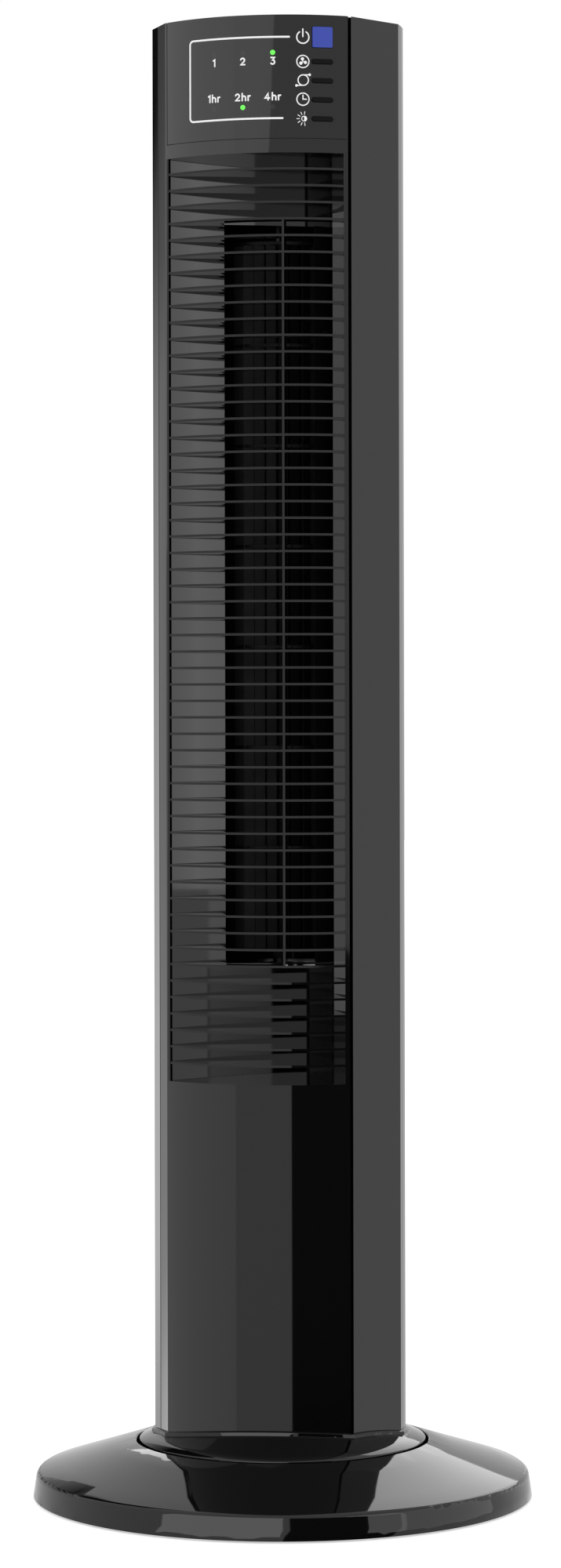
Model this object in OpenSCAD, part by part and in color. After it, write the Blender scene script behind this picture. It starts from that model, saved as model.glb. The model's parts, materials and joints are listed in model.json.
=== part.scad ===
// Tower fan: a bowed tower that swings on a round, weighted base and blows air with a crossflow wheel.
// The origin is on the floor under the centre of the base, +Z is up and the front faces -Y.

/* [Overall] */
// Height of the top edge above the floor
overall_h = 916.5; // [760:0.5:1100]
// Diameter of the base at its bottom edge
base_d = 311.4; // [300:0.2:374]
// Thickness of the plastic walls
wall = 2.5; // [2.1:0.1:3]

/* [Tower section] */
// Radius of the bowed front face
front_arc_r = 102; // [98:0.5:106]
// Distance from the swing axis forward to the front face
front_reach = 56; // [54:0.5:58]
// Distance from the swing axis back to the rear face
rear_reach = 70; // [69:0.5:74]
// Place of the left side face
left_side_x = -79.5; // [-81:0.5:-78]
// Place of the right side face
right_side_x = 76; // [75:0.5:78]

/* [Grille] */
// Height of the lower edge of the louvred recess
recess_z0 = 260.6; // [250:0.2:312]
// Distance from the top edge down to the recess
recess_drop = 84.5; // [80:0.5:100]
// Spacing of the louvres
rib_pitch = 10.19; // [8.5:0.01:12.3]
// Thickness of one louvre
rib_t = 1.4; // [1:0.1:2]
// Depth of the louvres across the outlet
rib_depth = 12; // [6:0.5:14]

/* [Blower] */
// Outside diameter of the crossflow wheel
wheel_d = 74; // [61:0.5:76]
// Number of blades around the wheel
blade_count = 30; // [24:1:36]
// Number of wheel sections between rings
section_count = 7; // [5:1:9]
// Diameter of the motor shaft
shaft_d = 8; // [6:0.5:9.6]

/* [Swing drive] */
// Largest swing to each side, in degrees
swing_angle = 40; // [30:1:45]
// Module of the swing gears
gear_module = 1.5; // [1.4:0.1:1.6]
// Teeth on the gear that is fixed to the base
fixed_teeth = 32; // [30:1:32]
// Teeth on the pinion of the swing motor
pinion_teeth = 12; // [11:1:13]

/* [Controls] */
// Width and height of the power button
power_button_w = 12.6; // [11:0.1:13]
// Width of the four slim buttons
slim_button_w = 13.2; // [11:0.1:13.6]
// Height of the four slim buttons
slim_button_h = 2.7; // [2.3:0.1:3.3]
// Spacing of the slim buttons
button_pitch = 11.7; // [10.5:0.1:11.8]

/* [Hidden] */
$fn = 120;
eps = 0.01;
far = 300;
gap = 0.3;

// Colours
gloss_black = [0.06, 0.06, 0.065];
matte_black = [0.12, 0.12, 0.13];
dark_grey = [0.25, 0.25, 0.27];
steel = [0.7, 0.71, 0.73];
zinc = [0.55, 0.56, 0.58];
copper = [0.72, 0.4, 0.2];
bronze = [0.7, 0.5, 0.25];
acetal = [0.85, 0.84, 0.8];
board_green = [0.1, 0.35, 0.2];
blue = [0.2, 0.3, 0.75];
led_green = [0.3, 0.9, 0.25];

// Base
foot_h = 1.2;
rim_r = base_d / 2;
rim_corner = [rim_r - 2.3, 15.9];
rim_round = 4;
ring_r = 91.3;
ring_z = 35.6;
well_z = 22.5;
plate_t = 3;
plate_top = foot_h + plate_t;
plate_r = rim_r - wall - 1.5;
foot_count = 6;
foot_pcd = 270 * base_d / 311.4;
post_r = 14;
post_bore_r = 9;
post_flange_r = 32;
post_top = 46.2;
running = 0.08;

// Turntable
table_r = 89.3;
table_z = 36.4;
table_slope = 0.31;
table_flat_r = 46;
table_flat_z = table_z + table_slope * (table_r - table_flat_r);
plinth_h = 2;
plinth_w = 2;
track_r = 75;
ball_r = 3;
ball_count = 24;
ball_z = well_z + ball_r;
stop_r = 54;

// Swing gears
fixed_pitch_r = gear_module * fixed_teeth / 2;
pinion_pitch_r = gear_module * pinion_teeth / 2;
gear_distance = fixed_pitch_r + pinion_pitch_r;
gear_z = well_z + 2;
gear_h = 6;
swing_motor_z = table_flat_z + 2.5;
swing_motor_r = 24;
swing_motor_h = 18;
pinion_shaft_r = 2.5;

// Tower section
front_arc_c = [-4, front_arc_r - front_reach];
side_mid_x = (left_side_x + right_side_x) / 2;
side_half = (right_side_x - left_side_x) / 2;
rear_tangent_y = 12;
rear_sag = rear_reach - rear_tangent_y;
rear_arc_r = (side_half * side_half + rear_sag * rear_sag) / (2 * rear_sag);
rear_arc_c = [side_mid_x, rear_reach - rear_arc_r];
left_corner = [-66, front_y(-66)];
right_corner = [51, front_y(51)];
left_shoulder = [left_side_x + 0.7, -12];
right_shoulder = [right_side_x - 0.4, -4.8];
seam_y = -23;
seam_gap = 1.1;
front_gap_x = [right_corner[0] - 1.4, right_corner[0] + 0.4];
section_outline = [
    left_corner + 3 * (left_corner - left_shoulder) / 2,
    right_corner + (right_corner - right_shoulder),
    right_shoulder, [right_side_x, 4], [right_side_x, 90],
    [left_side_x, 90], [left_side_x, -4], left_shoulder
];

// Louvred recess
recess_z1 = overall_h - recess_drop;
recess_left = -64.9;
recess_right = front_gap_x[0] - 1.3;
ramp_start = [recess_left, front_y(recess_left) + 1.2];
ramp_end = [32.1, -0.4];
ramp_r = 331;
ramp_c = arc_centre(ramp_start, ramp_end, ramp_r);
recess_outline = [
    [recess_left, -90], [recess_right, -90], [recess_right, front_y(recess_right)], ramp_end,
    [recess_left, 0]
];
rib_count = floor((recess_z1 - recess_z0) / rib_pitch) - 1;
closed_below = 6;
closed_above = 4;
outlet_z0 = rib_z(closed_below);
outlet_z1 = rib_z(rib_count - closed_above);
outlet_left = -30.6;
outlet_right = ramp_end[0] - 0.3;
mid_rib_x = 11.2;
rail_w = 1.2;

// Control panel
panel_z0 = overall_h - 76;
panel_t = 2;
panel_seam = 0.4;
panel_left = -64.7;
panel_right = front_gap_x[0];
backing_in = 4.2;
button_angle = 22.5;
led_angles = [-15.8, -5.2, 5.3];
speed_led_z = overall_h - 23.2;
timer_led_z = overall_h - 56.5;
led_r = 1.55;
power_z = overall_h - 13.7;
slim_top_z = overall_h - 28.7;
button_travel = 0.8;
slim_proud = 0.9;
power_proud = 0.7;
stem_r = 1.3;
button_board_in = 13;
display_board_in = 11;
board_t = 1.6;

// Blower
wheel_axis = [-5, 21];
wheel_r = wheel_d / 2;
wheel_z0 = outlet_z0 + 9;
wheel_z1 = outlet_z1 - 11.7;
section_h = (wheel_z1 - wheel_z0) / section_count;
ring_t = 2;
blade_in_r = wheel_r - 11;
shaft_r = shaft_d / 2;
stub_r = 3;
scroll_c = [-8, 14];
scroll_r = wheel_r + 8.3;
tongue_gap = 3.5;
bulkhead_t = 3;
lower_bulkhead_z = outlet_z0 - 5;
upper_bulkhead_z = outlet_z1 + 2.5;
motor_ear_r = 40;
motor_ear_angles = [0, 120, 240];
motor_top_z = lower_bulkhead_z - 6;
motor_r = 33;
core_r = 31;
shield_t = 2;
core_h = 34;
winding_h = 7;
cup_gap = 9;
motor_h = core_h + 2 * winding_h + 2 * shield_t + 2;
rotor_r = 18;
bush_r = 7;
wire_place = [-69, 8];

// Handle and fasteners
handle_w = 84;
handle_z = [overall_h - 71.5, overall_h - 31.5];
handle_floor_y = rear_reach - 22;
shell_screw_places = [[-60, 150], [45, 150], [-60, overall_h - 21.5], [45, overall_h - 21.5]];
shell_screw_tip_y = 12;
gland_z = 80;
power_board_y = 40;
power_board_z = [100, 200];

// ---- Functions ----

function unit(v) = v / norm(v);
function left_normal(a, b) = let (e = unit(b - a)) [-e[1], e[0]];
function front_y(x) = front_arc_c[1] - sqrt(pow(front_arc_r, 2) - pow(x - front_arc_c[0], 2));
function rib_z(i) = recess_z0 + 1.2 + rib_pitch * (i + 1);
function polar(r, a) = [r * cos(a), r * sin(a)];

// Centre of the arc of radius r from p to q that bulges toward -Y
function arc_centre(p, q, r) =
    (p + q) / 2 + left_normal(p, q) * sqrt(r * r - pow(norm(q - p) / 2, 2));

// A convex outline given anticlockwise, moved inward by t
function inset_point(p, i, t) =
    let (n = len(p), a = left_normal(p[(i + n - 1) % n], p[i]), b = left_normal(p[i], p[(i + 1) % n]))
    p[i] + t * (a + b) / (1 + a * b);
function inset_outline(p, t) = [for (i = [0:len(p) - 1]) inset_point(p, i, t)];

// Height of the turntable's upper face at radius r
function table_top(r) = table_z + table_slope * (table_r - max(r, table_flat_r));

// Involute gear outline, with its first tooth on +X
gear_pressure = 20;
gear_backlash = 0.15;
flank_steps = 4;
function involute(a) = tan(a) * 180 / PI - a;
function half_tooth(teeth, m, r) =
    let (pitch_r = m * teeth / 2, base_r = pitch_r * cos(gear_pressure))
    90 / teeth - gear_backlash / pitch_r * 90 / PI + involute(gear_pressure)
        - involute(acos(min(1, base_r / r)));
function flank_r(teeth, m, k) =
    let (base_r = m * teeth / 2 * cos(gear_pressure), top_r = m * (teeth / 2 + 1))
    base_r + (top_r - base_r) * k / flank_steps;
function gear_points(teeth, m) = [
    for (i = [0:teeth - 1])
        let (a = 360 * i / teeth, root_r = m * (teeth / 2 - 1.25), foot = half_tooth(teeth, m, 0.1 + root_r))
        each concat(
            [polar(root_r, a - half_tooth(teeth, m, flank_r(teeth, m, 0)))],
            [for (k = [0:flank_steps]) let (r = flank_r(teeth, m, k)) polar(r, a - half_tooth(teeth, m, r))],
            [for (k = [flank_steps:-1:0]) let (r = flank_r(teeth, m, k)) polar(r, a + half_tooth(teeth, m, r))],
            [polar(root_r, a + half_tooth(teeth, m, flank_r(teeth, m, 0)))]
        )
];

// One curved blade of the wheel, seen along the axis
blade_t = 1.3;
blade_lean = 38;
blade_steps = 4;
function blade_spine(s) =
    polar(blade_in_r + (wheel_r - 0.3 - blade_in_r) * s, blade_lean * (s - s * s) - 8 * s);
function blade_side(side) = [
    for (k = [0:blade_steps])
        let (s = k / blade_steps, ahead = blade_spine(s + 0.01), behind = blade_spine(s - 0.01))
        blade_spine(s) + side * blade_t / 2 * left_normal(behind, ahead)
];
function blade_points() =
    let (near = blade_side(-1), over = blade_side(1))
    concat(near, [for (k = [blade_steps:-1:0]) over[k]]);

// ---- Shared shapes ----

// Cross-section of the tower, moved inward by t
module section(t = 0) {
    intersection() {
        translate(front_arc_c) circle(front_arc_r - t);
        translate(rear_arc_c) circle(rear_arc_r - t);
        polygon(inset_outline(section_outline, t));
    }
}

module section_ring(t0, t1) {
    difference() {
        section(t0);
        section(t1);
    }
}

// Plan area in front of the seams, which the front fascia covers
module front_zone(side_y, right_x) {
    polygon([[-far, -far], [right_x, -far], [right_x, -30], [-60, side_y], [-far, side_y]]);
}

// Plan area of the recess, with its ramp and right wall moved outward by g
module recess_area(g = 0) {
    difference() {
        polygon(inset_outline(recess_outline, -g));
        translate(ramp_c) circle(ramp_r - g, $fn = 360);
    }
}

// Return lip of the rear shell beside the front gap, grown by g
module lip_area(g = 0) {
    translate([front_gap_x[1] - g, -60 - g]) square([2 + 2 * g, 38 + 2 * g]);
}

module slab(z0, z1) {
    translate([0, 0, z0]) linear_extrude(z1 - z0) children();
}

// Extrudes a shape drawn in X and Z along Y
module along_y(y0, y1) {
    translate([0, y1, 0]) rotate([90, 0, 0]) linear_extrude(y1 - y0) children();
}

module box_span(x, y, z) {
    translate([x[0], y[0], z[0]]) cube([x[1] - x[0], y[1] - y[0], z[1] - z[0]]);
}

module tube(r_out, r_in, z0, z1) {
    slab(z0, z1) difference() {
        circle(r_out);
        circle(r_in);
    }
}

module sector(r, a0, a1) {
    steps = 6;
    polygon(concat([[0, 0]], [for (k = [0:steps]) polar(r, a0 + (a1 - a0) * k / steps)]));
}

module ring_sector(r_out, r_in, a0, a1) {
    intersection() {
        difference() {
            circle(r_out);
            circle(r_in);
        }
        sector(2 * r_out, a0, a1);
    }
}

module rounded_rect(w, h, r) {
    square([w - 2 * r, h], center = true);
    square([w, h - 2 * r], center = true);
    for (x = [-1, 1], y = [-1, 1]) translate([x * (w / 2 - r), y * (h / 2 - r)]) circle(r);
}

module pill(w, h) {
    square([w - h, h], center = true);
    for (x = [-1, 1]) translate([x * (w - h) / 2, 0]) circle(h / 2);
}

// A round rod with round ends between two points
module rod(a, b, r) {
    d = b - a;
    flat = norm([d[0], d[1]]);
    translate(a) rotate([0, atan2(flat, d[2]), atan2(d[1], d[0])]) cylinder(h = norm(d), r = r, $fn = 32);
    translate(a) sphere(1.25 * r, $fn = 32);
    translate(b) sphere(1.25 * r, $fn = 32);
}

// Local frame on the front face: +Y points inward, the front face is at Y 0
module on_front(angle, z) {
    translate([front_arc_c[0], front_arc_c[1], z]) rotate([0, 0, angle])
        translate([0, -front_arc_r, 0]) children();
}

// Screw with a round head, its tip at z 0 and its head on top
module screw(shank_r, length, head_r, head_h) {
    cylinder(h = length, r = shank_r);
    translate([0, 0, length]) difference() {
        cylinder(h = head_h, r = head_r);
        translate([0, 0, head_h / 2]) cylinder(h = head_h, r = head_r * 0.45, $fn = 6);
    }
}

// Everything under the turntable's upper face, raised by h
module under_table(h) {
    rotate_extrude() polygon([
        [0, -10], [table_r + 20, -10], [table_r + 20, table_z - table_slope * 20 + h],
        [table_flat_r, table_flat_z + h], [0, table_flat_z + h]
    ]);
}

// ---- Base ----

module rubber_feet() {
    color(matte_black) for (i = [0:foot_count - 1]) rotate([0, 0, 60 * i + 30])
        translate([foot_pcd / 2, 0, 0]) {
            cylinder(h = foot_h, r = 9);
            translate([0, 0, foot_h]) cylinder(h = plate_t + 1.5, r = 3);
        }
}

module base_plate() {
    color(matte_black) difference() {
        union() {
            slab(foot_h, plate_top) circle(plate_r);
            tube(plate_r, plate_r - 2, plate_top, plate_top + 4);
        }
        for (i = [0:foot_count - 1]) rotate([0, 0, 60 * i + 30])
            translate([foot_pcd / 2, 0, 0]) cylinder(h = 10, r = 3);
        for (i = [0:foot_count - 1]) rotate([0, 0, 60 * i])
            translate([foot_pcd / 2, 0, 0]) cylinder(h = 10, r = 2.1);
        for (i = [0:3]) rotate([0, 0, 90 * i + 45]) translate([26, 0, 0]) cylinder(h = 10, r = 2);
    }
}

// Screws through the plate into the cover, then screws through the plate into the post
module base_screws() {
    color(zinc) {
        for (i = [0:foot_count - 1]) rotate([0, 0, 60 * i]) translate([foot_pcd / 2, 0, 11.5])
            rotate([180, 0, 0]) screw(2, 11.5 - foot_h, 3.4, foot_h - 0.2);
        for (i = [0:3]) rotate([0, 0, 90 * i + 45]) translate([26, 0, 7.4])
            rotate([180, 0, 0]) screw(1.9, 7.4 - foot_h, 3.2, foot_h - 0.2);
    }
}

module ballast_ring() {
    color(dark_grey) tube(plate_r - 28, 48, plate_top, plate_top + 9);
}

// Profile of the cover, from the rim over the dome to the well that holds the turntable
module cover_profile() {
    to_floor = unit([rim_r, 0] - rim_corner);
    to_ring = unit([ring_r, ring_z] - rim_corner);
    half = acos(to_floor * to_ring) / 2;
    reach = rim_round / tan(half);
    centre = rim_corner + unit(to_floor + to_ring) * rim_round / sin(half);
    dome_slope = (ring_z - rim_corner[1]) / (rim_corner[0] - ring_r);
    translate(centre) circle(rim_round);
    difference() {
        polygon([
            [rim_r - 0.2, foot_h], rim_corner + reach * to_floor, rim_corner + reach * to_ring,
            [ring_r + 0.8, ring_z - 0.8 * dome_slope], [ring_r, ring_z - 0.8],
            [ring_r, well_z], [post_r + gap, well_z], [post_r + gap, well_z - wall],
            [ring_r + wall, well_z - wall], [ring_r + wall, foot_h]
        ]);
        polygon([
            [ring_r + wall, 0], [ring_r + wall, ring_z - wall - dome_slope * wall],
            [rim_corner[0] - wall, rim_corner[1] - wall], [rim_r - wall, 0]
        ]);
    }
}

module base_cover() {
    color(gloss_black) {
        rotate_extrude($fn = 240) cover_profile();
        for (i = [0:foot_count - 1]) rotate([0, 0, 60 * i]) translate([foot_pcd / 2, 0, 0])
            tube(4.5, 2, plate_top, 18);
        slab(well_z, gear_z + gear_h - 1) ring_sector(stop_r + 4, stop_r - 4, -94, -86);
    }
}

module pivot_post() {
    color(steel) {
        difference() {
            slab(plate_top, plate_top + 3.2) circle(post_flange_r);
            translate([0, 0, plate_top - 1]) cylinder(h = 10, r = post_bore_r);
            for (i = [0:3]) rotate([0, 0, 90 * i + 45]) translate([26, 0, 0]) cylinder(h = 10, r = 1.9);
        }
        difference() {
            slab(plate_top + 3.2, post_top) circle(post_r);
            translate([0, 0, plate_top]) cylinder(h = post_top, r = post_bore_r);
            for (i = [0:2]) rotate([0, 0, 120 * i]) translate([11.5, 0, post_top - 8])
                cylinder(h = 10, r = 1.1);
        }
    }
}

module fixed_gear() {
    color(acetal) difference() {
        slab(gear_z, gear_z + gear_h) rotate(90) polygon(gear_points(fixed_teeth, gear_module));
        translate([0, 0, gear_z - 1]) cylinder(h = gear_h + 2, r = post_r);
    }
}

module ball_cage() {
    color(acetal) difference() {
        tube(track_r + 6, track_r - 6, well_z + 1, ball_z + 1);
        for (i = [0:ball_count - 1]) rotate([0, 0, 360 / ball_count * i])
            translate([track_r, 0, well_z]) cylinder(h = 10, r = ball_r + gap);
    }
    color(acetal) for (i = [0:5]) rotate([0, 0, 60 * i + 7.5]) translate([track_r, 0, well_z])
        cylinder(h = 1 + eps, r = 1.2);
}

module bearing_balls() {
    color(steel) for (i = [0:ball_count - 1]) rotate([0, 0, 360 / ball_count * i])
        translate([track_r, 0, ball_z]) sphere(ball_r, $fn = 48);
}

// Disc on top of the post that stops the turntable from lifting off
module pivot_retainer() {
    color(steel) difference() {
        slab(post_top, post_top + 2) circle(post_r + 6);
        translate([0, 0, post_top - 1]) cylinder(h = 4, r = post_bore_r);
        for (i = [0:2]) rotate([0, 0, 120 * i]) translate([11.5, 0, post_top - 1]) cylinder(h = 4, r = 1.1);
    }
}

module retainer_screws() {
    color(zinc) for (i = [0:2]) rotate([0, 0, 120 * i]) translate([11.5, 0, post_top - 6])
        screw(1.1, 8, 2.2, 1.4);
}

// ---- Turntable and swing drive ----

foot_screw_places = [[-62, 8], [60, 8], [-38, 48], [36, 48]];

module turntable() {
    under = table_flat_z - wall;
    color(gloss_black) difference() {
        union() {
            difference() {
                rotate_extrude($fn = 240) polygon([
                    [post_r + running, under - 9], [post_r + 12, under - 9], [post_r + 12, under],
                    [table_flat_r, under], [track_r - 5, table_top(track_r - 5) - wall],
                    [track_r - 5, ball_z + ball_r + gap], [track_r + 5, ball_z + ball_r + gap],
                    [track_r + 5, table_top(track_r + 5) - wall], [table_r, table_z - wall],
                    [table_r, table_z - 0.6], [table_r - 0.8, table_z + 0.15],
                    [table_flat_r, table_flat_z], [post_r + 8, table_flat_z],
                    [post_r + 8, post_top - gap], [post_r + running, post_top - gap]
                ]);
            }
            intersection() {
                slab(table_z - wall, table_flat_z + plinth_h) difference() {
                    section(-plinth_w);
                    section(wall);
                }
                difference() {
                    under_table(plinth_h);
                    under_table(-1);
                }
            }
            for (side = [-1, 1]) rotate([0, 0, side * (swing_angle + 9)])
                slab(gear_z, table_top(stop_r + 4) - 1) ring_sector(stop_r + 4, stop_r - 4, -94, -86);
        }
        translate([0, gear_distance, 0]) cylinder(h = far, r = pinion_pitch_r + gear_module + 1);
        for (p = foot_screw_places) translate([p[0], p[1], 0]) cylinder(h = far, r = 2.1);
    }
}

// Frame inside the foot of the tower, which ties the shells to the turntable
module foot_frame() {
    color(matte_black) difference() {
        union() {
            slab(table_z, 64) section_ring(wall + 0.1, wall + 3.1);
            slab(table_z, 60) for (p = foot_screw_places) intersection() {
                section(wall + 0.1);
                translate(p) square([p[1] < 20 ? 28 : 18, 16], center = true);
            }
        }
        under_table(plinth_h + 0.1);
        slab(0, far) lip_area(2);
        for (p = foot_screw_places) translate([p[0], p[1], 0]) cylinder(h = 58, r = 1.9);
    }
}

module foot_screws() {
    head_z = 30.2;
    color(zinc) for (p = foot_screw_places)
        translate([p[0], p[1], 56]) rotate([180, 0, 0]) screw(1.9, 56 - head_z - 1.6, 3.8, 1.6);
}

module swing_motor() {
    color(zinc) translate([0, gear_distance, 0]) difference() {
        union() {
            slab(swing_motor_z, swing_motor_z + swing_motor_h) circle(swing_motor_r);
            slab(swing_motor_z, swing_motor_z + 1) {
                square([2 * swing_motor_r + 8, 9], center = true);
                for (x = [-1, 1]) translate([x * (swing_motor_r + 4), 0]) circle(4.5);
            }
            for (x = [-1, 1]) translate([x * (swing_motor_r + 4), 0, 0])
                tube(4.5, 1.5, table_flat_z, swing_motor_z + eps);
            slab(swing_motor_z - 2, swing_motor_z + eps) circle(9);
        }
        translate([0, 0, swing_motor_z - 3]) cylinder(h = 15, r = pinion_shaft_r + 0.06);
        for (x = [-1, 1]) translate([x * (swing_motor_r + 4), 0, 0]) cylinder(h = far, r = 1.5);
    }
}

module swing_motor_screws() {
    color(zinc) for (x = [-1, 1])
        translate([x * (swing_motor_r + 4), gear_distance, swing_motor_z - 2])
            screw(1.5, 3, 2.8, 1.5);
}

module swing_pinion() {
    color(acetal) translate([0, gear_distance, 0]) {
        slab(gear_z + 0.2, gear_z + gear_h - 0.2) rotate(-90 + 180 / pinion_teeth)
            polygon(gear_points(pinion_teeth, gear_module));
        slab(gear_z + gear_h - 0.2, swing_motor_z + 10) circle(pinion_shaft_r);
        slab(gear_z + gear_h - 0.2, gear_z + gear_h + 6) circle(5);
    }
}

// ---- Tower shells ----

module front_fascia() {
    color(gloss_black) difference() {
        union() {
            slab(table_z, overall_h) intersection() {
                section_ring(0, wall);
                front_zone(seam_y, front_gap_x[0]);
            }
            slab(panel_z0 - 2, overall_h) intersection() {
                section_ring(panel_t, backing_in);
                front_zone(seam_y, front_gap_x[0]);
                translate([panel_left, -far]) square([far, far]);
            }
            slab(outlet_z0 - 40, outlet_z1 + 20) intersection() {
                section(wall - eps);
                translate([-68.6, -30.5]) square([3, 2]);
            }
            for (p = shell_screw_places) fascia_boss(p);
        }
        under_table(plinth_h + 0.1);
        slab(recess_z0, recess_z1) translate([recess_left, -far])
            square([recess_right - recess_left, far]);
        slab(panel_z0, overall_h + 1) difference() {
            translate([panel_left, -far]) square([panel_right - panel_left + 1, far]);
            section(panel_t);
        }
        button_window();
        for (a = led_angles, z = [speed_led_z, timer_led_z]) on_front(a, z) along_y(-1, 9) circle(led_r);
        for (p = shell_screw_places) translate([p[0], 0, p[1]]) along_y(-20, 40) circle(1.4);
    }
}

// Post behind the fascia that takes one shell screw
module fascia_boss(p) {
    intersection() {
        translate([p[0], 0, p[1]]) along_y(-60, 19.7) circle(3.2);
        slab(0, overall_h) section(wall - eps);
    }
}

// Opening behind the panel for all five buttons
module button_window() {
    on_front(button_angle, (power_z + slim_top_z - 3 * button_pitch) / 2)
        along_y(-3, 12) square([18.5, 70], center = true);
}

module rib_shape(full) {
    intersection() {
        recess_area();
        union() {
            difference() {
                section(0.3);
                section(rib_depth);
            }
            intersection() {
                section(0.3);
                translate([-far, -far]) square([(full ? far : outlet_left) + far, 2 * far]);
            }
        }
    }
}

// Louvres, their two side rails and the thin upright across the outlet
module grille_ribs() {
    color(gloss_black) {
        for (i = [0:rib_count - 1]) slab(rib_z(i) - rib_t / 2, rib_z(i) + rib_t / 2)
            rib_shape(i < closed_below || i > rib_count - closed_above);
        slab(outlet_z0, outlet_z1) intersection() {
            section_ring(1, 9);
            translate([mid_rib_x - rib_t / 2, -far]) square([rib_t, far]);
        }
        slab(recess_z0, recess_z1) intersection() {
            recess_area();
            section_ring(0.1, 3);
            union() {
                translate([recess_left, -far]) square([rail_w, 2 * far]);
                translate([recess_right - rail_w, -far]) square([rail_w, 2 * far]);
            }
        }
    }
}

// Floor and walls of the recess: a ramp that deepens to the right, with the air outlet cut in it
module outlet_tray() {
    color(gloss_black) difference() {
        slab(recess_z0 - wall, recess_z1 + wall) intersection() {
            section(wall + 0.05);
            recess_area(wall);
        }
        slab(recess_z0, recess_z1) intersection() {
            recess_area();
            translate([recess_left, -far]) square([far, 2 * far]);
        }
        box_span([outlet_left, outlet_right], [-60, 10], [outlet_z0, outlet_z1]);
        box_span([outlet_right - 1, outlet_right + 5], [ramp_end[1] - 0.6, 10], [outlet_z0, outlet_z1]);
        box_span([-72, recess_left - 0.3], [-40, -29.5], [outlet_z0 - 41, outlet_z1 + 21]);
    }
}

module rear_shell() {
    color(gloss_black) difference() {
        union() {
            slab(table_z, overall_h) {
                difference() {
                    section_ring(0, wall);
                    front_zone(seam_y + seam_gap, front_gap_x[1]);
                }
                intersection() {
                    section(0);
                    lip_area();
                }
            }
            slab(recess_z0 - wall - gap, recess_z1 + wall + gap)
                translate([front_gap_x[0] - 5, -22 - eps]) square([front_gap_x[1] - front_gap_x[0] + 7, 2]);
            for (z = [[table_z, recess_z0 - wall - gap], [recess_z1 + wall + gap, overall_h]])
                slab(z[0], z[1]) intersection() {
                    section_ring(wall + 0.4, wall + 2.4);
                    translate([front_gap_x[0] + 0.1, -60]) square([3, 60]);
                }
            intersection() {
                slab(0, overall_h) section(0);
                box_span([-handle_w / 2 - wall, handle_w / 2 + wall], [handle_floor_y - wall, far],
                    [handle_z[0] - wall, handle_z[1] + wall]);
            }
            for (p = shell_screw_places) rear_boss(p);
        }
        under_table(plinth_h + 0.1);
        box_span([-handle_w / 2, handle_w / 2], [handle_floor_y, far], handle_z);
        box_span([-50, 50], [20, far], [outlet_z0 - 3, outlet_z1 + 8]);
        for (p = shell_screw_places) translate([p[0], 0, p[1]]) {
            along_y(0, far) circle(1.6);
            along_y(screw_seat_y(p), far) circle(3.4);
        }
        translate([0, 0, gland_z]) along_y(rear_reach - 20, far) circle(7);
    }
}

function rear_y(x) = rear_arc_c[1] + sqrt(pow(rear_arc_r, 2) - pow(x - rear_arc_c[0], 2));
function screw_seat_y(p) = rear_y(abs(p[0]) + 4.5) - 4;

// Post inside the rear shell that one shell screw passes through
module rear_boss(p) {
    intersection() {
        translate([p[0], 0, p[1]]) along_y(20, far) circle(4.6);
        slab(0, overall_h) section(0);
    }
}

// Slotted intake panel that fills the window in the rear shell
module rear_grille() {
    slot_pitch = 10;
    z0 = outlet_z0 - 2.8;
    z1 = outlet_z1 + 7.8;
    slot_rows = floor((z1 - z0 - 28) / slot_pitch);
    color(gloss_black) intersection() {
        slab(z0, z1) section_ring(0, wall);
        along_y(20, far) difference() {
            translate([-49.8, z0]) square([99.6, z1 - z0]);
            for (row = [0:slot_rows - 1], column = [-1.5:1.5])
                translate([24 * column, z0 + 11 + slot_pitch * row]) square([20, 5.5], center = true);
        }
    }
}

module shell_screws() {
    color(zinc) for (p = shell_screw_places) translate([p[0], shell_screw_tip_y, p[1]])
        rotate([-90, 0, 0]) screw(1.4, screw_seat_y(p) - shell_screw_tip_y, 3, 2);
}

module top_cap() {
    color(gloss_black) slab(overall_h - 3.5, overall_h - 0.5) difference() {
        section(wall + 0.1);
        lip_area(2);
        intersection() {
            translate([-far, -far]) square([2 * far, far - 25]);
            difference() {
                section(0);
                section(backing_in + 0.1);
            }
        }
    }
}

// Bush in the lower rear of the tower where the mains lead enters
module cord_gland() {
    color(matte_black) translate([0, 0, gland_z]) difference() {
        union() {
            along_y(rear_reach - wall - 6, rear_reach + 3) circle(7);
            along_y(rear_reach + 0.2, rear_reach + 3) circle(9);
            along_y(rear_reach - wall - 6, rear_reach - wall - 1) circle(9);
        }
        along_y(0, far) circle(3.6);
    }
}

// ---- Blower ----

// Plate across the tower behind the recess
module bulkhead_shape() {
    difference() {
        section(wall + 0.1);
        recess_area(wall + 0.1);
        translate(wire_place) circle(6);
        translate([-75, -40]) square([12, 12]);
        translate([front_gap_x[0] - 6, -60]) square([12, 42]);
    }
}

module lower_bulkhead() {
    color(dark_grey) slab(lower_bulkhead_z, lower_bulkhead_z + bulkhead_t) difference() {
        bulkhead_shape();
        translate(wheel_axis) circle(10);
        for (a = motor_ear_angles) translate(wheel_axis + polar(motor_ear_r, a)) circle(3.5);
    }
}

module upper_bulkhead() {
    color(dark_grey) translate([0, 0, upper_bulkhead_z]) difference() {
        union() {
            slab(0, bulkhead_t) bulkhead_shape();
            translate(wheel_axis) cylinder(h = 10, r = 14);
        }
        translate([wheel_axis[0], wheel_axis[1], -1]) cylinder(h = 12, r = 11);
    }
}

// Curved guide on the left and rear of the wheel, from the intake to the outlet
module scroll_wall() {
    color(matte_black) slab(lower_bulkhead_z + bulkhead_t, upper_bulkhead_z) difference() {
        translate(scroll_c) ring_sector(scroll_r + 2, scroll_r, 105, 245);
        recess_area(wall + 0.1);
    }
}

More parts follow.
